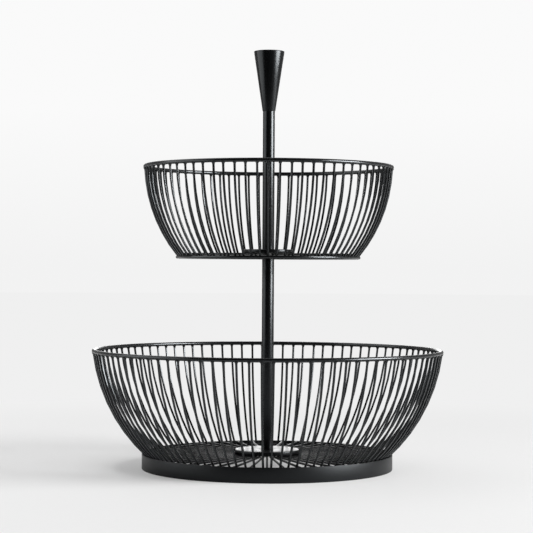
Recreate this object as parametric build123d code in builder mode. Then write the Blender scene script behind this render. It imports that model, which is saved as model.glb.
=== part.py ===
"""Two-tier wire basket on a central post, in millimetres, +Z up, standing on z = 0.

Each tier is a cage of bent side wires between a wire rim and a base ring, with a floor of
radial wires welded under a hub disc. A tube post joins the hubs and ends in a cone handle.
"""

import os
from math import cos, pi, sin

from build123d import *

# Wire stock, and how finely round wire is drawn
rim_wire = 4.0
rib_wire = 2.3
base_wire = 3.5
ring_facets = 6
rib_spans = 4

# Base band, the flat strip that the basket stands on, close round the feet of the side wires
band_gap = 0.5
band_wall = 1.0
band_height = 15.0
band_edge = 0.4

# Lower basket, radii to the centre-line of the wire
lower_rim_radius = 173.0
lower_foot_radius = 120.0
lower_side_curve = 164.0
lower_depth = 104.3
lower_rib_count = 96
lower_rib_groups = 8
lower_spoke_groups = 4
lower_spoke_start = 26.0
lower_hub_radius = 32.0

# Upper basket
upper_rim_radius = 123.0
upper_foot_radius = 90.6
upper_side_curve = 146.0
upper_depth = 88.3
upper_rib_count = 72
upper_rib_groups = 8
upper_spoke_groups = 4
upper_spoke_start = 19.0
upper_hub_radius = 24.5

# Hub discs and the post between them
hub_thickness = 4.0
post_diameter = 12.0
post_wall = 1.2
lower_post_length = 195.5
upper_post_length = 138.0

# Handle, a turned cone
handle_length = 60.0
handle_foot_diameter = 12.8
handle_top_diameter = 30.8
handle_edge = 0.8
handle_land = 0.8
handle_facets = 48

# Threaded ends of the posts, and the screw from below
thread_diameter = 6.0
thread_clearance = 0.1
insert_length = 14.0
insert_clearance = 0.1
stud_length = 16.0
stud_end_gap = 2.0
screw_length = 16.0
screw_head_height = 4.0
screw_head_flats = 10.0

# Bores, and heights from the pieces stacked below
lower_floor = band_height - rib_wire
lower_hub_top = band_height + hub_thickness
upper_hub_bottom = lower_hub_top + lower_post_length
upper_floor = upper_hub_bottom - rib_wire
upper_hub_top = upper_hub_bottom + hub_thickness
handle_bottom = upper_hub_top + upper_post_length
post_bore = post_diameter - 2 * post_wall
threaded_hole = thread_diameter + 2 * thread_clearance


def save(piece, name):
    """Labels a finished piece and writes its STEP file."""
    piece.label = name
    export_step(piece, f"parts/{name}.step")


def wire_ring(radius, height, wire, sides):
    """A closed wire ring round the post, drawn with straight sides."""
    half_turn = pi / sides
    corner_radius = radius / cos(half_turn)
    angles = [half_turn * (2 * side + 1) for side in range(sides)]
    corners = [(corner_radius * cos(angle), corner_radius * sin(angle)) for angle in angles]
    with BuildPart() as ring:
        with BuildLine(Plane.XY.offset(height)) as route:
            Polyline((radius, 0), *corners, (radius, 0))
        with BuildSketch(Plane(route.line @ 0, x_dir=(1, 0, 0), z_dir=(0, 1, 0))):
            RegularPolygon(wire / 2, ring_facets, major_radius=False)
        sweep(transition=Transition.RIGHT)
    return ring.part


def side_wire(foot_radius, floor, rim_radius, rim_height, curve):
    """One side wire in the XZ plane, bowed outwards, cut level at the base ring and the rim."""
    under_rim = rim_height - rim_wire / 2
    with BuildPart() as wire:
        with BuildLine(Plane.XZ) as route:
            bow = RadiusArc((foot_radius, floor), (rim_radius, under_rim), -curve, mode=Mode.PRIVATE)
            inner_points = [bow @ (step / rib_spans) for step in range(1, rib_spans)]
            Polyline(bow @ 0 - bow % 0 * rib_wire, *inner_points, bow @ 1 + bow % 1 * rib_wire)
        start = route.line @ 0
        with BuildSketch(Plane(start, x_dir=(0, 1, 0), z_dir=route.line % 0)):
            Rectangle(rib_wire, rib_wire)
        sweep(transition=Transition.RIGHT)
        split(bisect_by=Plane.XY.offset(floor), keep=Keep.TOP)
        split(bisect_by=Plane.XY.offset(under_rim), keep=Keep.BOTTOM)
    return wire.part


def floor_wire(inner_radius, outer_radius, floor):
    """One straight floor wire along +X, lying on the base ring."""
    with BuildPart() as wire:
        with BuildSketch(Plane.YZ.offset(inner_radius)):
            with Locations((0, floor + rib_wire / 2)):
                Rectangle(rib_wire, rib_wire)
        extrude(amount=outer_radius - inner_radius)
    return wire.part


def turned_group(wire, first_angle, step_angle, count):
    """Copies of one wire, turned about the post by equal steps."""
    with BuildPart() as group:
        with PolarLocations(0, count, start_angle=first_angle, angular_range=count * step_angle):
            add(wire)
    return group.part


def save_groups(wire, name, first_angle, step_angle, count, groups):
    """Writes a full circle of one wire as several nodes of neighbouring wires."""
    for group in range(groups):
        first = group * count // groups
        after_last = (group + 1) * count // groups
        angle = first_angle + first * step_angle
        save(turned_group(wire, angle, step_angle, after_last - first), f"{name}_{group + 1}")


def hub_disc(radius, bottom):
    """A hub disc with a clear hole for the thread."""
    with BuildPart() as disc:
        with BuildSketch(Plane.XY.offset(bottom)):
            Circle(radius)
            Circle(threaded_hole / 2, mode=Mode.SUBTRACT)
        extrude(amount=hub_thickness)
    return disc.part


def post_tube(bottom, length):
    """A length of the post."""
    with BuildPart() as tube:
        with BuildSketch(Plane.XY.offset(bottom)):
            Circle(post_diameter / 2)
            Circle(post_bore / 2, mode=Mode.SUBTRACT)
        extrude(amount=length)
    return tube.part


os.makedirs("parts", exist_ok=True)

# Rims and base rings, with one straight side for every floor wire
lower_rim_height = lower_floor + lower_depth
upper_rim_height = upper_floor + upper_depth
lower_ring_height = lower_floor - base_wire / 2
upper_ring_height = upper_floor - base_wire / 2
lower_spoke_count = lower_rib_count // 2
upper_spoke_count = upper_rib_count // 2
save(wire_ring(lower_rim_radius, lower_rim_height, rim_wire, lower_spoke_count), "lower_rim")
save(wire_ring(upper_rim_radius, upper_rim_height, rim_wire, upper_spoke_count), "upper_rim")
save(wire_ring(lower_foot_radius, lower_ring_height, base_wire, lower_spoke_count), "lower_base_ring")
save(wire_ring(upper_foot_radius, upper_ring_height, base_wire, upper_spoke_count), "upper_base_ring")

# Side wires and floor wires of the lower basket, with a gap between side wires at the front
front = -90
lower_step = 360 / lower_rib_count
lower_rib = side_wire(
    lower_foot_radius, lower_floor, lower_rim_radius, lower_rim_height, lower_side_curve
)
lower_spoke = floor_wire(lower_spoke_start, lower_foot_radius + base_wire / 2, lower_floor)
first_rib = front + lower_step / 2
save_groups(lower_rib, "lower_ribs", first_rib, lower_step, lower_rib_count, lower_rib_groups)
save_groups(lower_spoke, "lower_spokes", front, 2 * lower_step, lower_spoke_count, lower_spoke_groups)

# Base band, its inside clear of the outermost point of a side wire at the band's top
rib_at_band_top = section(lower_rib, section_by=Plane.XY.offset(band_height))
band_inside = rib_at_band_top.bounding_box().max.X + band_gap
with BuildPart() as base_band:
    with BuildSketch():
        Circle(band_inside + band_wall)
        Circle(band_inside, mode=Mode.SUBTRACT)
    extrude(amount=band_height)
    top_edges = base_band.edges().group_by(Axis.Z)[-1]
    chamfer(top_edges.sort_by(SortBy.RADIUS)[-1], length=band_edge)
save(base_band.part, "base_band")

# Side wires and floor wires of the upper basket, with a side wire exactly at the front
upper_step = 360 / upper_rib_count
upper_rib = side_wire(
    upper_foot_radius, upper_floor, upper_rim_radius, upper_rim_height, upper_side_curve
)
upper_spoke = floor_wire(upper_spoke_start, upper_foot_radius + base_wire / 2, upper_floor)
first_spoke = front + upper_step / 2
save_groups(upper_rib, "upper_ribs", front, upper_step, upper_rib_count, upper_rib_groups)
save_groups(
    upper_spoke, "upper_spokes", first_spoke, 2 * upper_step, upper_spoke_count, upper_spoke_groups
)

# Hub discs on the floor wires
save(hub_disc(lower_hub_radius, band_height), "lower_hub")
save(hub_disc(upper_hub_radius, upper_hub_bottom), "upper_hub")

# Post tubes
save(post_tube(lower_hub_top, lower_post_length), "lower_post")
save(post_tube(upper_hub_top, upper_post_length), "upper_post")

# Threaded inserts, flush in both ends of the lower post
with BuildPart() as threaded_inserts:
    for end_height, inwards in ((lower_hub_top, 1), (upper_hub_bottom, -1)):
        with BuildSketch(Plane.XY.offset(end_height)):
            Circle(post_bore / 2 - insert_clearance)
            Circle(threaded_hole / 2, mode=Mode.SUBTRACT)
        extrude(amount=inwards * insert_length)
save(threaded_inserts.part, "threaded_inserts")

# Studded plugs in both ends of the upper post, one stud down through the hub, one up
with BuildPart() as studded_plugs:
    for end_height, inwards in ((upper_hub_top, 1), (handle_bottom, -1)):
        with BuildSketch(Plane.XY.offset(end_height)):
            Circle(post_bore / 2 - insert_clearance)
        extrude(amount=inwards * insert_length)
        with BuildSketch(Plane.XY.offset(end_height)):
            Circle(thread_diameter / 2)
        extrude(amount=-inwards * stud_length)
save(studded_plugs.part, "studded_plugs")

# Hexagon screw up through the lower hub
with BuildPart() as base_screw:
    with BuildSketch(Plane.XY.offset(band_height)):
        RegularPolygon(screw_head_flats / 2, side_count=6, major_radius=False)
    extrude(amount=-screw_head_height)
    with BuildSketch(Plane.XY.offset(band_height)):
        Circle(thread_diameter / 2)
    extrude(amount=screw_length)
save(base_screw.part, "base_screw")

# Handle, a bar turned down to a cone that narrows to its foot, with a short straight land and
# a bevel at the top and a blind threaded hole in the foot
handle_flare = (handle_top_diameter - handle_foot_diameter) / 2
cone_length = handle_length - handle_edge - handle_land
with BuildPart() as handle:
    with BuildSketch(Plane.XY.offset(handle_bottom)):
        RegularPolygon(handle_top_diameter / 2, side_count=handle_facets, major_radius=False)
    extrude(amount=handle_length)
    chamfer(handle.faces().sort_by(Axis.Z)[-1].edges(), length=handle_edge)
    foot_face = handle.faces().sort_by(Axis.Z)[0]
    chamfer(foot_face.edges(), length=handle_flare, length2=cone_length, reference=foot_face)
    with BuildSketch(Plane.XY.offset(handle_bottom)):
        Circle(threaded_hole / 2)
    extrude(amount=stud_length + stud_end_gap, mode=Mode.SUBTRACT)
save(handle.part, "handle")
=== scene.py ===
"""Two-tier wire basket in black satin powder coat: its finishes, its pieces and the studio.

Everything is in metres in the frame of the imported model, with +Z up and the base band
standing on z = 0. Each sub-assembly is a class that holds its sizes and builds its pieces.
"""

import logging
import math
import random
from dataclasses import dataclass
from enum import Enum

import bmesh
import bpy
from mathutils import Matrix, Vector

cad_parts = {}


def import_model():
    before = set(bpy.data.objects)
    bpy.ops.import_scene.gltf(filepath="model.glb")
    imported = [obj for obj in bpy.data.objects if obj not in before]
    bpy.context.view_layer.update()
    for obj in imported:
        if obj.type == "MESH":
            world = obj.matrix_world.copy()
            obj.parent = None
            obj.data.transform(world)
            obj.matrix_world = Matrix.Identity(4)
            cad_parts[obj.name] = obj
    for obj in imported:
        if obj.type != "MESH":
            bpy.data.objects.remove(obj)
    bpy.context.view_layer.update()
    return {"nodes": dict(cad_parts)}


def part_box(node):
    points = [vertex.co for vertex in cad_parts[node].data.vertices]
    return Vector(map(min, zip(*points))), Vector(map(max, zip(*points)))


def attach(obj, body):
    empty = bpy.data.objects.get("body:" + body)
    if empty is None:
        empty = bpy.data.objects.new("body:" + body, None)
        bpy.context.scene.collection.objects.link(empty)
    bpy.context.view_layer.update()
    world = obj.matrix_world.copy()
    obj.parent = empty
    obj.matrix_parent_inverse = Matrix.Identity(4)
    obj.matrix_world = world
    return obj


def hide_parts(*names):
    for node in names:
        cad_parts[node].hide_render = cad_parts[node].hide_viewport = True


LOG = logging.getLogger("tiered_basket")

Colour = tuple[float, float, float, float]
WHITE: Colour = (1.0, 1.0, 1.0, 1.0)

ORIGIN = (0, 0, 0)
UPWARDS = (0, 0, 1)
FULL_TURN = 2 * math.pi
FRONT = -math.pi / 2

# The angle above which an edge stays sharp, the distance within which two points are one,
# and the distance within which a point counts as on the post's axis
SMOOTH_ANGLE = math.radians(35)
SAME_PLACE = 1e-6
ON_AXIS = 1e-9


class Slot(Enum):
    """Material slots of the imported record."""

    POWDER_COAT = "powder_coat"
    STEEL = "steel_hardware"


class Finish(Enum):
    """Finishes that the pieces are dressed in."""

    WIRE = "coated_wire"
    FLOOR = "coated_floor_painted_shade"
    BAND = "coated_band"
    TURNED = "coated_turned"
    DISC = "coated_disc"
    ZINC = "zinc_plate"


class Graph:
    """Adds and joins the nodes of a material, a world or a node group."""

    def __init__(self, tree: bpy.types.NodeTree) -> None:
        """Starts on an empty tree.

        Args:
            tree: The node tree to fill.
        """
        self.tree = tree
        tree.nodes.clear()

    def node(self, kind: str, values: dict | None = None, **settings: object) -> bpy.types.Node:
        """Adds a node.

        Args:
            kind: The node's type name.
            values: Socket values or links by input name or index.
            **settings: Properties of the node.

        Returns:
            The new node.
        """
        made = self.tree.nodes.new(kind)
        for key, value in settings.items():
            setattr(made, key, value)
        for key, value in (values or {}).items():
            if isinstance(value, bpy.types.NodeSocket):
                self.tree.links.new(value, made.inputs[key])
            else:
                made.inputs[key].default_value = value
        return made

    def place(self) -> bpy.types.NodeSocket:
        """Adds the place in object coordinates."""
        return self.node("ShaderNodeTexCoord").outputs["Object"]

    def math(
        self, operation: str, first: object, second: object, clamp: bool = False
    ) -> bpy.types.NodeSocket:
        """Works a value out of two others.

        Args:
            operation: What is done with them.
            first: The first value.
            second: The second value.
            clamp: Whether the result is kept from 0 to 1.

        Returns:
            The result.
        """
        values = {0: first, 1: second}
        made = self.node("ShaderNodeMath", values, operation=operation, use_clamp=clamp)
        return made.outputs[0]

    def noise(self, place: object, scale: object, detail: float) -> bpy.types.NodeSocket:
        """Reads a noise.

        Args:
            place: Where it is read.
            scale: How many of its waves a metre holds.
            detail: How many finer layers it has.

        Returns:
            The noise, from 0 to 1.
        """
        values = {"Vector": place, "Scale": scale, "Detail": detail}
        return self.node("ShaderNodeTexNoise", values).outputs[0]

    def ramp(
        self,
        value: object,
        start: float,
        end: float,
        low: float = 0.0,
        high: float = 1.0,
        smooth: bool = False,
    ) -> bpy.types.NodeSocket:
        """Spreads one range of values over another.

        Args:
            value: The socket to spread.
            start: The value that becomes low, as all values before it do.
            end: The value that becomes high, as all values after it do.
            low: The result at the start.
            high: The result at the end.
            smooth: Whether the change starts and ends gently.

        Returns:
            The spread value.
        """
        made = self.node(
            "ShaderNodeMapRange",
            {"Value": value, "From Min": start, "From Max": end, "To Min": low, "To Max": high},
            interpolation_type="SMOOTHSTEP" if smooth else "LINEAR",
        )
        return made.outputs["Result"]

    def tint(self, share: object, first: object, second: object) -> bpy.types.NodeSocket:
        """Mixes two colours.

        Args:
            share: Share of the second colour.
            first: The first colour.
            second: The second colour.

        Returns:
            The mixed colour.
        """
        made = self.node("ShaderNodeMix", {0: share, 6: first, 7: second}, data_type="RGBA")
        return made.outputs[2]

    def blend(
        self, share: object, first: bpy.types.Node, second: bpy.types.Node
    ) -> bpy.types.Node:
        """Mixes two shaders.

        Args:
            share: Share of the second shader.
            first: The first shader's node.
            second: The second shader's node.

        Returns:
            The node of the mixed shader.
        """
        values = {0: share, 1: first.outputs[0], 2: second.outputs[0]}
        return self.node("ShaderNodeMixShader", values)

    def effect(self, group: bpy.types.NodeTree, values: dict) -> bpy.types.NodeSocket:
        """Adds a shared effect.

        Args:
            group: The effect's node group.
            values: Socket values or links by input name.

        Returns:
            The effect's one output.
        """
        return self.node("ShaderNodeGroup", values, node_tree=group).outputs[0]


class SurfaceEffects:
    """Node groups that the finishes share, each built the first time that it is asked for."""

    @staticmethod
    def _start(
        name: str, inputs: dict[str, float | None], output: str
    ) -> tuple[Graph, bpy.types.NodeOutputs, bpy.types.NodeSocket]:
        """Makes an empty group.

        Args:
            name: The group's name.
            inputs: Input names with their starting values, None for a vector.
            output: Name of the float output.

        Returns:
            The group's graph, its inputs as the graph reads them, and the socket to fill.
        """
        group = bpy.data.node_groups.new(name, "ShaderNodeTree")
        for title, value in inputs.items():
            kind = "NodeSocketVector" if value is None else "NodeSocketFloat"
            socket = group.interface.new_socket(name=title, in_out="INPUT", socket_type=kind)
            if value is not None:
                socket.default_value = value
        group.interface.new_socket(name=output, in_out="OUTPUT", socket_type="NodeSocketFloat")
        graph = Graph(group)
        given = graph.node("NodeGroupInput").outputs
        result = graph.node("NodeGroupOutput").inputs[output]
        return graph, given, result

    @classmethod
    def orange_peel(cls) -> bpy.types.NodeTree:
        """The soft pebbling and the fine grain of a baked powder coat.

        Returns:
            A group with Height, from 0 to 1.
        """
        name = "orange_peel"
        if name in bpy.data.node_groups:
            return bpy.data.node_groups[name]
        sizes = {"Position": None, "Pebble Size": 0.0012, "Grain Size": 0.0003, "Grain Share": 0.3}
        graph, given, result = cls._start(name, sizes, "Height")
        pebble_scale = graph.math("DIVIDE", 1.0, given["Pebble Size"])
        grain_scale = graph.math("DIVIDE", 1.0, given["Grain Size"])
        pebbles = graph.noise(given["Position"], pebble_scale, detail=1.0)
        grain = graph.noise(given["Position"], grain_scale, detail=0.0)
        height = graph.node("ShaderNodeMix", {0: given["Grain Share"], 2: pebbles, 3: grain})
        graph.tree.links.new(height.outputs[0], result)
        return graph.tree

    @classmethod
    def mottle(cls) -> bpy.types.NodeTree:
        """Slow changes over a surface, as where a coat is thicker or has been wiped.

        Returns:
            A group with Mask, from 0 to 1.
        """
        name = "mottle"
        if name in bpy.data.node_groups:
            return bpy.data.node_groups[name]
        sizes = {"Position": None, "Patch Size": 0.03, "Contrast": 1.0}
        graph, given, result = cls._start(name, sizes, "Mask")
        scale = graph.math("DIVIDE", 1.0, given["Patch Size"])
        patches = graph.noise(given["Position"], scale, detail=3.0)
        centred = graph.math("SUBTRACT", patches, 0.5)
        scaled = graph.math("MULTIPLY", centred, given["Contrast"])
        graph.tree.links.new(graph.math("ADD", scaled, 0.5, clamp=True), result)
        return graph.tree

    @classmethod
    def settled_dust(cls) -> bpy.types.NodeTree:
        """A trace of dust on what faces up.

        Returns:
            A group with Mask, from 0 to 1.
        """
        name = "settled_dust"
        if name in bpy.data.node_groups:
            return bpy.data.node_groups[name]
        sizes = {"Position": None, "Amount": 0.1, "Fleck Size": 0.004}
        graph, given, result = cls._start(name, sizes, "Mask")
        normal = graph.node("ShaderNodeNewGeometry").outputs["Normal"]
        upwards = graph.node("ShaderNodeSeparateXYZ", {0: normal}).outputs["Z"]
        facing_up = graph.ramp(upwards, 0.4, 1.0, smooth=True)
        scale = graph.math("DIVIDE", 1.0, given["Fleck Size"])
        flecks = graph.noise(given["Position"], scale, detail=6.0)
        patchy = graph.math("MULTIPLY", facing_up, flecks)
        graph.tree.links.new(graph.math("MULTIPLY", patchy, given["Amount"]), result)
        return graph.tree


def new_material(name: str) -> tuple[bpy.types.Material, Graph]:
    """Makes a material with no nodes yet.

    Args:
        name: The material's name.

    Returns:
        The material and its graph.
    """
    made = bpy.data.materials.new(name)
    made.use_nodes = True
    return made, Graph(made.node_tree)


@dataclass(frozen=True)
class PowderCoat:
    """Black satin powder coat on steel.

    Attributes:
        thin: Colour where the coat is thin.
        thick: Colour where it is thick.
        gloss: Roughness of its smoothest patches.
        matt: Roughness of its roughest patches.
        specular: Strength of its plain reflection.
        painted_blue_reflection_tint: Tint of that reflection, a little blue: painted light, the
            bluish colour of the right-hand lamp's reflections put into the coat.
        pebble: Width of one pebble of its orange peel, in metres.
        relief: Depth of the orange peel, in metres.
        dust: Share of dust on what faces up.
        settled: Colour of the dust.
    """

    thin: Colour = (0.0030, 0.0031, 0.0034, 1.0)
    thick: Colour = (0.0016, 0.0017, 0.0019, 1.0)
    gloss: float = 0.26
    matt: float = 0.34
    specular: float = 0.30
    painted_blue_reflection_tint: Colour = (0.90, 0.96, 1.0, 1.0)
    pebble: float = 0.0014
    relief: float = 0.00003
    dust: float = 0.01
    settled: Colour = (0.32, 0.31, 0.29, 1.0)

    def material(self, finish: Finish) -> bpy.types.Material:
        """Builds the material.

        Args:
            finish: The finish that it is, for its name.

        Returns:
            The new material.
        """
        made, graph = new_material(finish.value)
        place = graph.place()
        pebbling = {"Position": place, "Pebble Size": self.pebble}
        peel = graph.effect(SurfaceEffects.orange_peel(), pebbling)
        patches = graph.effect(SurfaceEffects.mottle(), {"Position": place})
        settling = {"Position": place, "Amount": self.dust}
        dust = graph.effect(SurfaceEffects.settled_dust(), settling)
        coat = graph.tint(patches, self.thick, self.thin)
        bump = graph.node(
            "ShaderNodeBump", {"Height": peel, "Strength": 1.0, "Distance": self.relief}
        )
        shader = graph.node(
            "ShaderNodeBsdfPrincipled",
            {
                "Base Color": graph.tint(dust, coat, self.settled),
                "Roughness": graph.ramp(patches, 0.0, 1.0, self.gloss, self.matt),
                "Normal": bump.outputs["Normal"],
                "Specular IOR Level": self.specular,
                # Painted light: every reflection of the coat is tinted a little blue
                "Specular Tint": self.painted_blue_reflection_tint,
            },
        )
        graph.node("ShaderNodeOutputMaterial", {"Surface": shader.outputs["BSDF"]})
        return made


@dataclass(frozen=True)
class ZincPlate:
    """Bright zinc plate on turned steel hardware.

    Attributes:
        bright: Colour of the clean plate.
        dull: Colour where it has dulled.
        polished: Roughness of the bright plate.
        dulled: Roughness of the dull plate.
        patch: Width of a dull patch, in metres.
        groove: Pitch of the turning marks, in metres.
        wander: How far the marks are from even.
        mark: Share of the marks' depth that shows.
        depth: Depth of the marks, in metres.
    """

    bright: Colour = (0.66, 0.66, 0.64, 1.0)
    dull: Colour = (0.50, 0.49, 0.46, 1.0)
    polished: float = 0.24
    dulled: float = 0.42
    patch: float = 0.003
    groove: float = 0.0004
    wander: float = 0.6
    mark: float = 0.4
    depth: float = 0.00002

    def material(self, finish: Finish) -> bpy.types.Material:
        """Builds the material.

        Args:
            finish: The finish that it is, for its name.

        Returns:
            The new material.
        """
        made, graph = new_material(finish.value)
        place = graph.place()
        dulling = {"Position": place, "Patch Size": self.patch}
        patches = graph.effect(SurfaceEffects.mottle(), dulling)
        marks = graph.node(
            "ShaderNodeTexWave",
            {"Vector": place, "Scale": 1 / self.groove, "Distortion": self.wander},
            wave_type="RINGS",
            rings_direction="Z",
        )
        bump = graph.node(
            "ShaderNodeBump",
            {"Height": marks.outputs[1], "Strength": self.mark, "Distance": self.depth},
        )
        shader = graph.node(
            "ShaderNodeBsdfPrincipled",
            {
                "Base Color": graph.tint(patches, self.bright, self.dull),
                "Metallic": 1.0,
                "Roughness": graph.ramp(patches, 0.0, 1.0, self.polished, self.dulled),
                "Normal": bump.outputs["Normal"],
            },
        )
        graph.node("ShaderNodeOutputMaterial", {"Surface": shader.outputs["BSDF"]})
        return made


FINISHES: dict[Finish, PowderCoat | ZincPlate] = {
    Finish.WIRE: PowderCoat(gloss=0.20, matt=0.28, specular=0.46),
    # Painted shade: the floor wires wear the same coat as the others; this copy has a weaker,
    # rougher reflection so that the floor looks shaded
    Finish.FLOOR: PowderCoat(gloss=0.30, matt=0.38, specular=0.16, dust=0.0),
    Finish.BAND: PowderCoat(gloss=0.36, matt=0.44, specular=0.24, pebble=0.0016),
    Finish.TURNED: PowderCoat(gloss=0.22, matt=0.30, pebble=0.0012),
    Finish.DISC: PowderCoat(gloss=0.24, matt=0.32, dust=0.02),
    Finish.ZINC: ZincPlate(),
}


def new_mesh(shape: bmesh.types.BMesh, name: str) -> bpy.types.Mesh:
    """Turns a finished shape into a mesh.

    Args:
        shape: The shape, which is freed.
        name: The mesh's name.

    Returns:
        The mesh.
    """
    mesh = bpy.data.meshes.new(name)
    shape.to_mesh(mesh)
    shape.free()
    return mesh


def new_object(data: bpy.types.ID) -> bpy.types.Object:
    """Puts a mesh, lamp or camera into the scene.

    Args:
        data: The mesh, lamp or camera, whose name the object takes.

    Returns:
        The object, which sits at the origin.
    """
    made = bpy.data.objects.new(data.name, data)
    bpy.context.scene.collection.objects.link(made)
    return made


class Workshop:
    """Keeps the finishes, turns shapes into pieces and reports them."""

    def __init__(self) -> None:
        """Builds every finish once."""
        self.materials = {finish: look.material(finish) for finish, look in FINISHES.items()}

    def publish(self, shape: bmesh.types.BMesh, name: str, finish: Finish, node: str) -> None:
        """Makes a shape a finished piece that stands for a CAD node.

        Args:
            shape: The finished shape, which is freed.
            name: The piece's name.
            finish: What it is dressed in.
            node: The CAD node that it replaces.
        """
        bmesh.ops.recalc_face_normals(shape, faces=shape.faces)
        mesh = new_mesh(shape, name)
        mesh.shade_smooth()
        mesh.set_sharp_from_angle(angle=SMOOTH_ANGLE)
        mesh.materials.append(self.materials[finish])
        piece = new_object(mesh)
        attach(piece, "root")
        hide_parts(node)
        LOG.info("%s: %d faces in %s", name, len(mesh.polygons), finish.value)

    def dress(self, node: bpy.types.Object, finish: Finish) -> None:
        """Gives a carried-over CAD node a finish.

        Args:
            node: The CAD node's object.
            finish: What it is dressed in.
        """
        for slot in node.material_slots:
            slot.material = self.materials[finish]
        LOG.info("%s: dressed in %s", node.name, finish.value)


def heights(node: str) -> tuple[float, float]:
    """Gives the height of a CAD node's lowest and highest points.

    Args:
        node: The node's name.

    Returns:
        The lower and the upper height.
    """
    low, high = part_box(node)
    return low.z, high.z


def only(items: list, kind: type) -> list:
    """Picks the items of one kind, such as the points, out of what an operator gives."""
    return [item for item in items if isinstance(item, kind)]


def rounded(
    shape: bmesh.types.BMesh, places: list, radius: float, affect: str, facets: int
) -> None:
    """Rounds some corners or edges of a shape.

    Args:
        shape: The shape.
        places: Its corners or edges to round.
        radius: How far from each the rounding starts.
        affect: Which of them they are, VERTICES or EDGES.
        facets: Number of facets across each.
    """
    bmesh.ops.bevel(
        shape,
        geom=places,
        offset=radius,
        offset_type="OFFSET",
        affect=affect,
        segments=facets,
        profile=0.5,
        material=-1,
    )


def full_spin(shape: bmesh.types.BMesh, facets: int) -> None:
    """Turns an outline once about the post.

    Args:
        shape: The shape, which holds the outline alone.
        facets: Number of facets round the post.
    """
    bmesh.ops.spin(
        shape,
        geom=shape.verts[:] + shape.edges[:],
        cent=ORIGIN,
        axis=UPWARDS,
        angle=FULL_TURN,
        steps=facets,
        use_merge=True,
    )


@dataclass(frozen=True)
class TurnedRing:
    """A ring of rectangular section with rounded edges, turned about the post.

    Attributes:
        inner: Inner radius.
        outer: Outer radius.
        edge: Radius of its rounded edges.
        facets: Number of facets round it.
        edge_facets: Number of facets across an edge.
    """

    inner: float
    outer: float
    edge: float
    facets: int
    edge_facets: int = 3

    def shape(self, low: float, high: float) -> bmesh.types.BMesh:
        """Builds the ring.

        Args:
            low: Height of its underside.
            high: Height of its top.

        Returns:
            The closed shape.
        """
        shape = bmesh.new()
        corners = ((self.inner, low), (self.outer, low), (self.outer, high), (self.inner, high))
        verts = [shape.verts.new((radius, 0.0, height)) for radius, height in corners]
        section = shape.faces.new(verts)
        rounded(shape, list(section.verts), self.edge, "VERTICES", self.edge_facets)
        bmesh.ops.delete(shape, geom=shape.faces[:], context="FACES_ONLY")
        full_spin(shape, self.facets)
        return shape


@dataclass
class BaseBand:
    """The flat strip ring that the basket stands on.

    Attributes:
        radius: Outer radius.
        wall: Thickness of the strip.
        edge: Radius of its rounded edges.
        facets: Number of facets round it.
    """

    radius: float = 0.12497
    wall: float = 0.0010
    edge: float = 0.0004
    facets: int = 240

    def build(self, shop: Workshop) -> None:
        """Builds the band.

        Args:
            shop: The workshop that finishes it.
        """
        ring = TurnedRing(self.radius - self.wall, self.radius, self.edge, self.facets)
        shape = ring.shape(*heights("base_band"))
        shop.publish(shape, "base_strip", Finish.BAND, "base_band")


@dataclass(frozen=True)
class Station:
    """One section of a length of wire in the XZ plane.

    Attributes:
        place: The middle of the section.
        along: Direction of the wire there.
        share: Share of the wire's thickness that the section has.
    """

    place: Vector
    along: Vector
    share: float


def swept_wire(stations: list[Station], wire: float, facets: int) -> bmesh.types.BMesh:
    """Builds one length of round wire.

    Args:
        stations: Its sections in order.
        wire: Diameter of the wire.
        facets: Number of facets round it.

    Returns:
        The closed shape.
    """
    shape = bmesh.new()
    places = []
    for station in stations:
        lean = math.atan2(station.along.x, station.along.z)
        turn = Matrix.Rotation(lean, 4, "Y") @ Matrix.Rotation(math.pi / facets, 4, "Z")
        size = Matrix.Scale(station.share, 4)
        places.append(Matrix.Translation(station.place) @ turn @ size)
    bmesh.ops.create_circle(shape, segments=facets, radius=wire / 2, matrix=places[0])
    front = list(shape.edges)
    for before, after in zip(places, places[1:]):
        grown = bmesh.ops.extrude_edge_only(shape, edges=front)["geom"]
        front = only(grown, bmesh.types.BMEdge)
        move = after @ before.inverted()
        bmesh.ops.transform(shape, matrix=move, verts=only(grown, bmesh.types.BMVert))
    ends = [edge for edge in shape.edges if edge.is_boundary]
    bmesh.ops.holes_fill(shape, edges=ends, sides=facets)
    return shape


def repeated(one: bmesh.types.BMesh, angles: list[float]) -> bmesh.types.BMesh:
    """Copies one shape round the post.

    Args:
        one: The shape to copy, which becomes the result.
        angles: The turn of each copy.

    Returns:
        The copies without the first shape.
    """
    pattern = one.verts[:] + one.edges[:] + one.faces[:]
    for angle in angles:
        copy = bmesh.ops.duplicate(one, geom=pattern)["geom"]
        turn = Matrix.Rotation(angle, 3, "Z")
        verts = only(copy, bmesh.types.BMVert)
        bmesh.ops.rotate(one, verts=verts, cent=ORIGIN, matrix=turn)
    bmesh.ops.delete(one, geom=only(pattern, bmesh.types.BMVert), context="VERTS")
    return one


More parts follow.
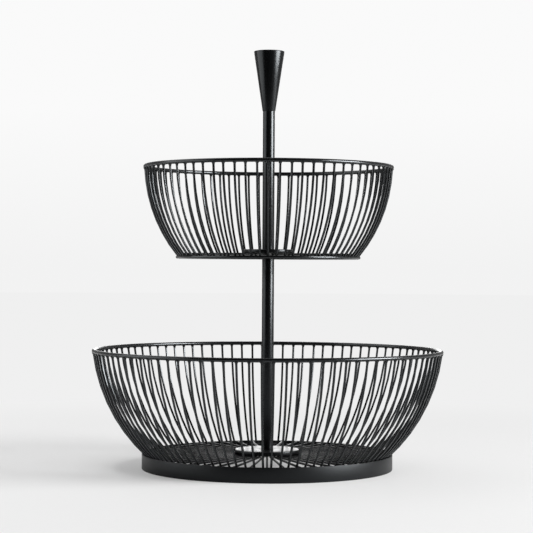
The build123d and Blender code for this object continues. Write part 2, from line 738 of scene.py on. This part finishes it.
@dataclass
class WireBowl:
    """One tier: a cage of bowed side wires on a floor of radial wires.

    Attributes:
        tier: The tier's name, which starts the names of its CAD nodes.
        rim_radius: Radius to the rim wire's centre-line.
        foot_radius: Radius to the base ring's centre-line.
        side_curve: Radius of the side wires' bow.
        rib_count: Number of side wires, two for each floor wire.
        rib_groups: Number of CAD nodes that hold them.
        spoke_groups: Number of CAD nodes that hold the floor wires.
        spoke_start: Radius at which the floor wires start, under the hub.
        front_rib: Whether a side wire stands exactly at the front.
        sway: Largest error in a side wire's angle, in degrees.
        weld_depth: How far a side wire reaches into the base ring, in metres.
        weld_fillet: How a side wire widens into its weld at the rim, as distances short of
            the rim's underside in weld depths, each with a share of the wire's thickness.
        side_spans: Number of straight spans in a side wire's bow.
        end_share: Share of a floor wire's thickness that its blunt ends have.
        end_length: Length of a floor wire's rounded end, in thicknesses.
        wire_facets: Number of facets round a side wire or a floor wire.
        ring_facets: Number of facets round the wire of the rim and the base ring.
        ring_steps: Number of facets round the post of the rim and the base ring.
    """

    tier: str
    rim_radius: float
    foot_radius: float
    side_curve: float
    rib_count: int
    rib_groups: int
    spoke_groups: int
    spoke_start: float
    front_rib: bool
    sway: float = 0.18
    weld_depth: float = 0.0010
    weld_fillet: tuple[tuple[float, float], ...] = (
        (2.2, 1.0),
        (1.0, 1.12),
        (0.3, 1.45),
        (-0.6, 1.9),
    )
    side_spans: int = 7
    end_share: float = 0.7
    end_length: float = 0.25
    wire_facets: int = 8
    ring_facets: int = 16
    ring_steps: int = 180

    def build(self, shop: Workshop) -> None:
        """Builds the rim, the base ring, the side wires and the floor wires.

        Args:
            shop: The workshop that finishes them.
        """
        self.build_ring(shop, "rim", self.rim_radius)
        self.build_ring(shop, "base_ring", self.foot_radius)
        self.build_side_wires(shop)
        self.build_floor_wires(shop)

    def build_ring(self, shop: Workshop, part: str, radius: float) -> None:
        """Builds a closed ring of round wire about the post.

        Args:
            shop: The workshop that finishes it.
            part: The end of its CAD node's name.
            radius: Radius to the wire's centre-line.
        """
        node = f"{self.tier}_{part}"
        low, high = heights(node)
        upright = Matrix.Rotation(math.pi / 2, 4, "X")
        place = Matrix.Translation((radius, 0, (low + high) / 2)) @ upright
        wire_radius = (high - low) / 2
        shape = bmesh.new()
        bmesh.ops.create_circle(
            shape, segments=self.ring_facets, radius=wire_radius, matrix=place
        )
        full_spin(shape, self.ring_steps)
        shop.publish(shape, f"{node}_wire", Finish.WIRE, node)

    def side_stations(self) -> list[Station]:
        """Lays out one side wire, from inside the base ring to inside the rim.

        Returns:
            Its sections.
        """
        floor = heights(f"{self.tier}_base_ring")[1]
        under_rim = heights(f"{self.tier}_rim")[0]
        foot = Vector((self.foot_radius, 0, floor))
        top = Vector((self.rim_radius, 0, under_rim))
        chord = top - foot
        inwards = Vector((-chord.z, 0, chord.x)).normalized()
        rise = math.sqrt(self.side_curve**2 - (chord.length / 2) ** 2)
        centre = (foot + top) / 2 + inwards * rise
        first = math.atan2(foot.z - centre.z, foot.x - centre.x)
        last = math.atan2(top.z - centre.z, top.x - centre.x)
        depth = self.weld_depth / self.side_curve
        stops = [(first - depth, 1.0)]
        for step in range(1, self.side_spans):
            stops.append((first + (last - first) * step / self.side_spans, 1.0))
        stops += [(last - short * depth, share) for short, share in self.weld_fillet]
        stations = []
        for angle, share in stops:
            outwards = Vector((math.cos(angle), 0, math.sin(angle)))
            along = Vector((-outwards.z, 0, outwards.x))
            stations.append(Station(centre + outwards * self.side_curve, along, share))
        return stations

    def build_side_wires(self, shop: Workshop) -> None:
        """Builds the side wires.

        Args:
            shop: The workshop that finishes them.
        """
        step = FULL_TURN / self.rib_count
        first = FRONT + (0 if self.front_rib else step / 2)
        chance = random.Random(self.rib_count)
        angles = []
        for rib in range(self.rib_count):
            sway = math.radians(chance.uniform(-self.sway, self.sway))
            angles.append(first + step * rib + sway)
        names = ("side_wires", "ribs")
        self.publish_wires(
            shop, self.side_stations(), angles, self.rib_groups, Finish.WIRE, names
        )

    def build_floor_wires(self, shop: Workshop) -> None:
        """Builds the floor wires.

        Args:
            shop: The workshop that finishes them.
        """
        low, high = heights(f"{self.tier}_spokes_1")
        ring_low, ring_high = heights(f"{self.tier}_base_ring")
        start = self.spoke_start
        end = self.foot_radius + (ring_high - ring_low) / 2
        rounding = (high - low) * self.end_length
        stops = (
            (start, self.end_share),
            (start + rounding, 1.0),
            (end - rounding, 1.0),
            (end, self.end_share),
        )
        middle = (low + high) / 2
        outwards = Vector((1, 0, 0))
        stations = [Station(Vector((at, 0, middle)), outwards, share) for at, share in stops]
        count = self.rib_count // 2
        step = FULL_TURN / count
        first = FRONT + (step / 4 if self.front_rib else 0)
        angles = [first + step * spoke for spoke in range(count)]
        names = ("floor_wires", "spokes")
        # The floor wires get the darker copy of the coat, as painted shade
        self.publish_wires(shop, stations, angles, self.spoke_groups, Finish.FLOOR, names)

    def publish_wires(
        self,
        shop: Workshop,
        stations: list[Station],
        angles: list[float],
        groups: int,
        finish: Finish,
        names: tuple[str, str],
    ) -> None:
        """Builds a full circle of one wire, with one piece for each CAD node.

        Args:
            shop: The workshop that finishes the pieces.
            stations: Sections of the wire.
            angles: The turn of each wire.
            groups: Number of CAD nodes.
            finish: What the wires are dressed in.
            names: What the pieces are called and what the nodes are called.
        """
        low, high = heights(f"{self.tier}_spokes_1")
        piece, node = names
        for group in range(groups):
            start = group * len(angles) // groups
            stop = (group + 1) * len(angles) // groups
            one = swept_wire(stations, high - low, self.wire_facets)
            shape = repeated(one, angles[start:stop])
            number = group + 1
            name = f"{self.tier}_{piece}_{number}"
            shop.publish(shape, name, finish, f"{self.tier}_{node}_{number}")


LOWER_BOWL = WireBowl(
    tier="lower",
    rim_radius=0.173,
    foot_radius=0.120,
    side_curve=0.164,
    rib_count=96,
    rib_groups=8,
    spoke_groups=4,
    spoke_start=0.026,
    front_rib=False,
)
UPPER_BOWL = WireBowl(
    tier="upper",
    rim_radius=0.123,
    foot_radius=0.0906,
    side_curve=0.146,
    rib_count=72,
    rib_groups=8,
    spoke_groups=4,
    spoke_start=0.019,
    front_rib=True,
)


@dataclass
class PostColumn:
    """The hub discs and the tube between and above them.

    Attributes:
        tube_radius: Outer radius of the tube.
        tube_wall: Wall of the tube.
        tube_edge: Radius of the tube's rounded ends.
        tube_facets: Number of facets round the tube.
        hub_radii: Radius of each hub disc.
        hub_hole: Radius of the hole in each hub disc.
        hub_edge: Radius of the hub discs' rounded edges.
        hub_facets: Number of facets round a hub disc.
    """

    tube_radius: float = 0.006
    tube_wall: float = 0.0012
    tube_edge: float = 0.0002
    tube_facets: int = 64
    hub_radii: tuple[float, float] = (0.032, 0.0245)
    hub_hole: float = 0.0031
    hub_edge: float = 0.0008
    hub_facets: int = 96

    def build(self, shop: Workshop) -> None:
        """Builds both hub discs and both tubes.

        Args:
            shop: The workshop that finishes them.
        """
        bore = self.tube_radius - self.tube_wall
        tube = TurnedRing(bore, self.tube_radius, self.tube_edge, self.tube_facets)
        for tier, hub_radius in zip(("lower", "upper"), self.hub_radii):
            disc = TurnedRing(self.hub_hole, hub_radius, self.hub_edge, self.hub_facets)
            for ring, piece, node, finish in (
                (disc, "hub_disc", "hub", Finish.DISC),
                (tube, "tube", "post", Finish.TURNED),
            ):
                shape = ring.shape(*heights(f"{tier}_{node}"))
                shop.publish(shape, f"{tier}_{piece}", finish, f"{tier}_{node}")


@dataclass
class ConeHandle:
    """The turned cone on top of the post.

    Attributes:
        foot_radius: Radius at the foot.
        top_radius: Radius at the widest place.
        top_edge: Radius of the rounded top edge.
        foot_edge: Radius of the rounded foot edge.
        facets: Number of facets round it.
        edge_facets: Number of facets across a rounded edge.
    """

    foot_radius: float = 0.0064
    top_radius: float = 0.0154
    top_edge: float = 0.0010
    foot_edge: float = 0.0003
    facets: int = 96
    edge_facets: int = 4

    def build(self, shop: Workshop) -> None:
        """Builds the handle.

        Args:
            shop: The workshop that finishes it.
        """
        low, high = heights("handle")
        outline = ((0.0, low), (self.foot_radius, low), (self.top_radius, high), (0.0, high))
        shape = bmesh.new()
        verts = [shape.verts.new((radius, 0.0, height)) for radius, height in outline]
        shape.faces.new(verts)
        for vert, edge in ((verts[1], self.foot_edge), (verts[2], self.top_edge)):
            rounded(shape, [vert], edge, "VERTICES", self.edge_facets)
        bmesh.ops.delete(shape, geom=shape.faces[:], context="FACES_ONLY")
        axis_edges = []
        for edge in shape.edges:
            if all(abs(vert.co.x) < ON_AXIS for vert in edge.verts):
                axis_edges.append(edge)
        bmesh.ops.delete(shape, geom=axis_edges, context="EDGES")
        full_spin(shape, self.facets)
        bmesh.ops.remove_doubles(shape, verts=shape.verts, dist=SAME_PLACE)
        shop.publish(shape, "cone_handle", Finish.TURNED, "handle")


@dataclass
class Hardware:
    """The hexagon screw under the lower hub, and the threaded pieces inside the tubes.

    Attributes:
        flats: Width of the screw's head across its flats.
        head_sides: Number of the head's flats.
        shank_radius: Radius of the shank.
        shank_facets: Number of facets round the shank.
        chamfer: Width of the bevel round the head's lower edges.
        chamfer_facets: Number of facets across that bevel.
    """

    flats: float = 0.010
    head_sides: int = 6
    shank_radius: float = 0.003
    shank_facets: int = 32
    chamfer: float = 0.0006
    chamfer_facets: int = 2

    def build(self, shop: Workshop, nodes: dict[str, bpy.types.Object]) -> None:
        """Builds the screw and dresses the hidden pieces.

        Args:
            shop: The workshop that finishes them.
            nodes: The CAD nodes by name.
        """
        low, high = heights("base_screw")
        seat = heights("lower_hub")[0]
        corner_radius = self.flats / 2 / math.cos(math.pi / self.head_sides)
        shape = bmesh.new()
        self.add_bar(shape, corner_radius, low, seat, self.head_sides)
        lowest = []
        for edge in shape.edges:
            if all(vert.co.z < low + self.chamfer for vert in edge.verts):
                lowest.append(edge)
        rounded(shape, lowest, self.chamfer, "EDGES", self.chamfer_facets)
        self.add_bar(shape, self.shank_radius, seat, high, self.shank_facets)
        shop.publish(shape, "hexagon_screw", Finish.ZINC, "base_screw")
        for node in ("threaded_inserts", "studded_plugs"):
            shop.dress(nodes[node], Finish.ZINC)

    @staticmethod
    def add_bar(
        shape: bmesh.types.BMesh, radius: float, low: float, high: float, sides: int
    ) -> None:
        """Adds a closed upright bar on the post's axis to a shape.

        Args:
            shape: The shape that it is added to.
            radius: Radius to the bar's corners.
            low: Height of its lower end.
            high: Height of its upper end.
            sides: Number of its sides.
        """
        bmesh.ops.create_cone(
            shape,
            cap_ends=True,
            segments=sides,
            radius1=radius,
            radius2=radius,
            depth=high - low,
            matrix=Matrix.Translation((0, 0, (low + high) / 2)),
        )


@dataclass
class PhotoCamera:
    """The level camera at the photograph's viewpoint.

    Attributes:
        distance: Distance in front of the post.
        height: Height above the floor.
        lens: Focal length, in millimetres.
        sensor: Width of the sensor, in millimetres.
        roll: Turn about the view, in radians.
        shift: Sideways shift of the frame, as a share of its width.
    """

    distance: float = 1.7112
    height: float = 0.2014
    lens: float = 115.6
    sensor: float = 36.0
    roll: float = 0.0055
    shift: float = -0.0030

    def build(self) -> None:
        """Makes the camera, and makes it the scene's."""
        data = bpy.data.cameras.new("photo_camera")
        data.sensor_width = self.sensor
        data.lens = self.lens
        data.shift_x = self.shift
        camera = new_object(data)
        place = Matrix.Translation((0, -self.distance, self.height))
        level = Matrix.Rotation(math.pi / 2, 4, "X")
        rolled = Matrix.Rotation(self.roll, 4, "Z")
        camera.matrix_world = place @ level @ rolled
        bpy.context.scene.camera = camera


@dataclass
class SoftLamp:
    """A soft box that faces the basket.

    Attributes:
        name: The lamp's name.
        place: Where it stands.
        width: Its width.
        height: Its height.
        glow: Brightness of its face, where 1 is white.
        aim: The place that it faces.
    """

    name: str
    place: tuple[float, float, float]
    width: float
    height: float
    glow: float
    aim: tuple[float, float, float] = (0, 0, 0.2)

    def build(self) -> None:
        """Makes the lamp, which the camera doesn't see."""
        data = bpy.data.lights.new(self.name, "AREA")
        data.shape = "RECTANGLE"
        data.size = self.width
        data.size_y = self.height
        data.energy = self.glow * math.pi * self.width * self.height
        lamp = new_object(data)
        lamp.location = self.place
        view = Vector(self.aim) - lamp.location
        lamp.rotation_euler = view.to_track_quat("-Z", "Y").to_euler()
        lamp.visible_camera = False


# A bright soft box on the right, a weak one on the left, and two behind
LAMPS = (
    SoftLamp("right_soft_box", (2.5, -0.76, 0.95), width=1.5, height=1.15, glow=33.0),
    SoftLamp("left_soft_box", (-1.5, -0.25, 0.55), width=1.5, height=1.0, glow=2.6),
    SoftLamp("overhead_soft_box", (-0.5, 0.9, 1.7), width=1.8, height=1.2, glow=1.5),
    SoftLamp("rear_card", (0.0, 2.6, 0.42), width=1.0, height=0.7, glow=3.2),
)


@dataclass
class PaleFloor:
    """The pale floor, which fades into the background away from the basket.

    Attributes:
        radius: Radius of the floor disc.
        front: How far it reaches in front of the post.
        facets: Number of its sides.
        left_tone: Paleness of its left side.
        right_tone_painted_shade: Paleness of its right side, lower than the left as painted shade
            that offsets the stronger light of the right-hand lamp.
        side_reach: Distance from the post at which each side has its full tone.
        speckle: Largest change of its tone from place to place, up or down.
        speckle_scale: How many waves of that change a metre holds.
        background: Colour of the background, which it fades to.
        fade_start: Distance from the post at which it starts to fade.
        fade_end: Distance from the post at which it has faded.
        near_painted_glow_share: Share of painted glow in the background colour, seen by the camera
            alone, which lightens it and the shadows on it before it starts to fade.
    """

    radius: float = 6.0
    front: float = 0.8
    facets: int = 96
    left_tone: float = 0.80
    right_tone_painted_shade: float = 0.64
    side_reach: float = 0.5
    speckle: float = 0.015
    speckle_scale: float = 180.0
    background: Colour = (0.87, 0.87, 0.87, 1.0)
    fade_start: float = 0.30
    fade_end: float = 0.9
    near_painted_glow_share: float = 0.25

    def build(self) -> None:
        shape = bmesh.new()
        place = Matrix.Translation((0, self.radius - self.front, 0))
        bmesh.ops.create_circle(
            shape, cap_ends=True, segments=self.facets, radius=self.radius, matrix=place
        )
        mesh = new_mesh(shape, "pale_floor")
        mesh.materials.append(self.material())
        new_object(mesh)

    def material(self) -> bpy.types.Material:
        """Builds a pale matt surface, which glows for the camera and is clear from below.

        Returns:
            The new material.
        """
        made, graph = new_material("pale_surface")
        place = graph.place()
        reach = graph.node("ShaderNodeVectorMath", {0: place}, operation="LENGTH")
        fade = graph.ramp(reach.outputs["Value"], self.fade_start, self.fade_end, smooth=True)
        # Painted light: near the basket the camera sees part of the floor as a glow, which makes
        # the shadows on it paler; further out the glow is the backdrop
        far = graph.ramp(fade, 0.0, 1.0, self.near_painted_glow_share, 1.0)
        seen = graph.node("ShaderNodeLightPath").outputs["Is Camera Ray"]
        share = graph.math("MULTIPLY", far, seen)
        grain = graph.noise(place, self.speckle_scale, detail=4.0)
        across = graph.node("ShaderNodeSeparateXYZ", {0: place}).outputs["X"]
        # Painted shade: the floor's tone falls from left to right, evening out the light of the
        # right-hand lamp
        side = graph.ramp(
            across, -self.side_reach, self.side_reach, self.left_tone, self.right_tone_painted_shade
        )
        change = graph.ramp(grain, 0.0, 1.0, -self.speckle, self.speckle)
        tone = graph.math("ADD", side, change)
        surface = graph.node("ShaderNodeBsdfDiffuse", {"Color": tone})
        glow = graph.node("ShaderNodeEmission", {"Color": self.background, "Strength": 1.0})
        top = graph.blend(share, surface, glow)
        below = graph.node("ShaderNodeNewGeometry").outputs["Backfacing"]
        mixed = graph.blend(below, top, graph.node("ShaderNodeBsdfTransparent"))
        graph.node("ShaderNodeOutputMaterial", {"Surface": mixed.outputs[0]})
        return made


@dataclass
class Surroundings:
    """The world: a soft light that is stronger from behind, and a near white backdrop.

    Attributes:
        front_light: Strength of the light from the front.
        rear_light: Strength of the light from behind.
        front_end: Y of the directions up to which the light is the front one.
        rear_end: Y of the directions from which it is the rear one.
        horizon: Tone of the backdrop at the horizon and below it.
        upper: Tone of the backdrop higher up.
        climb: Z of the directions from which it has its upper tone.
    """

    front_light: float = 0.03
    rear_light: float = 0.28
    front_end: float = -0.2
    rear_end: float = 0.5
    horizon: float = 0.89
    upper: float = 0.955
    climb: float = 0.09

    def build(self) -> None:
        """Makes the world, whose backdrop only the camera sees."""
        world = bpy.data.worlds.new("surroundings")
        world.use_nodes = True
        bpy.context.scene.world = world
        graph = Graph(world.node_tree)
        direction = graph.node("ShaderNodeTexCoord").outputs["Generated"]
        parts = graph.node("ShaderNodeSeparateXYZ", {0: direction}).outputs
        behind = graph.ramp(
            parts["Y"],
            self.front_end,
            self.rear_end,
            self.front_light,
            self.rear_light,
            smooth=True,
        )
        height = graph.ramp(parts["Z"], 0.0, self.climb, self.horizon, self.upper)
        seen = graph.node("ShaderNodeLightPath").outputs["Is Camera Ray"]
        light = graph.node("ShaderNodeBackground", {"Color": WHITE, "Strength": behind})
        backdrop = graph.node("ShaderNodeBackground", {"Color": WHITE, "Strength": height})
        mixed = graph.blend(seen, light, backdrop)
        graph.node("ShaderNodeOutputWorld", {"Surface": mixed.outputs[0]})


def build_studio() -> None:
    """Sets up the camera, the lamps, the floor and the surroundings."""
    PhotoCamera().build()
    for lamp in LAMPS:
        lamp.build()
    PaleFloor().build()
    Surroundings().build()
    bpy.context.scene.view_settings.view_transform = "Standard"


def main() -> None:
    """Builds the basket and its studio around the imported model."""
    logging.basicConfig(level=logging.INFO, format="%(name)s: %(message)s")
    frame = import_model()
    shop = Workshop()
    BaseBand().build(shop)
    LOWER_BOWL.build(shop)
    UPPER_BOWL.build(shop)
    PostColumn().build(shop)
    ConeHandle().build(shop)
    Hardware().build(shop, frame["nodes"])
    build_studio()


if __name__ == "__main__":
    main()
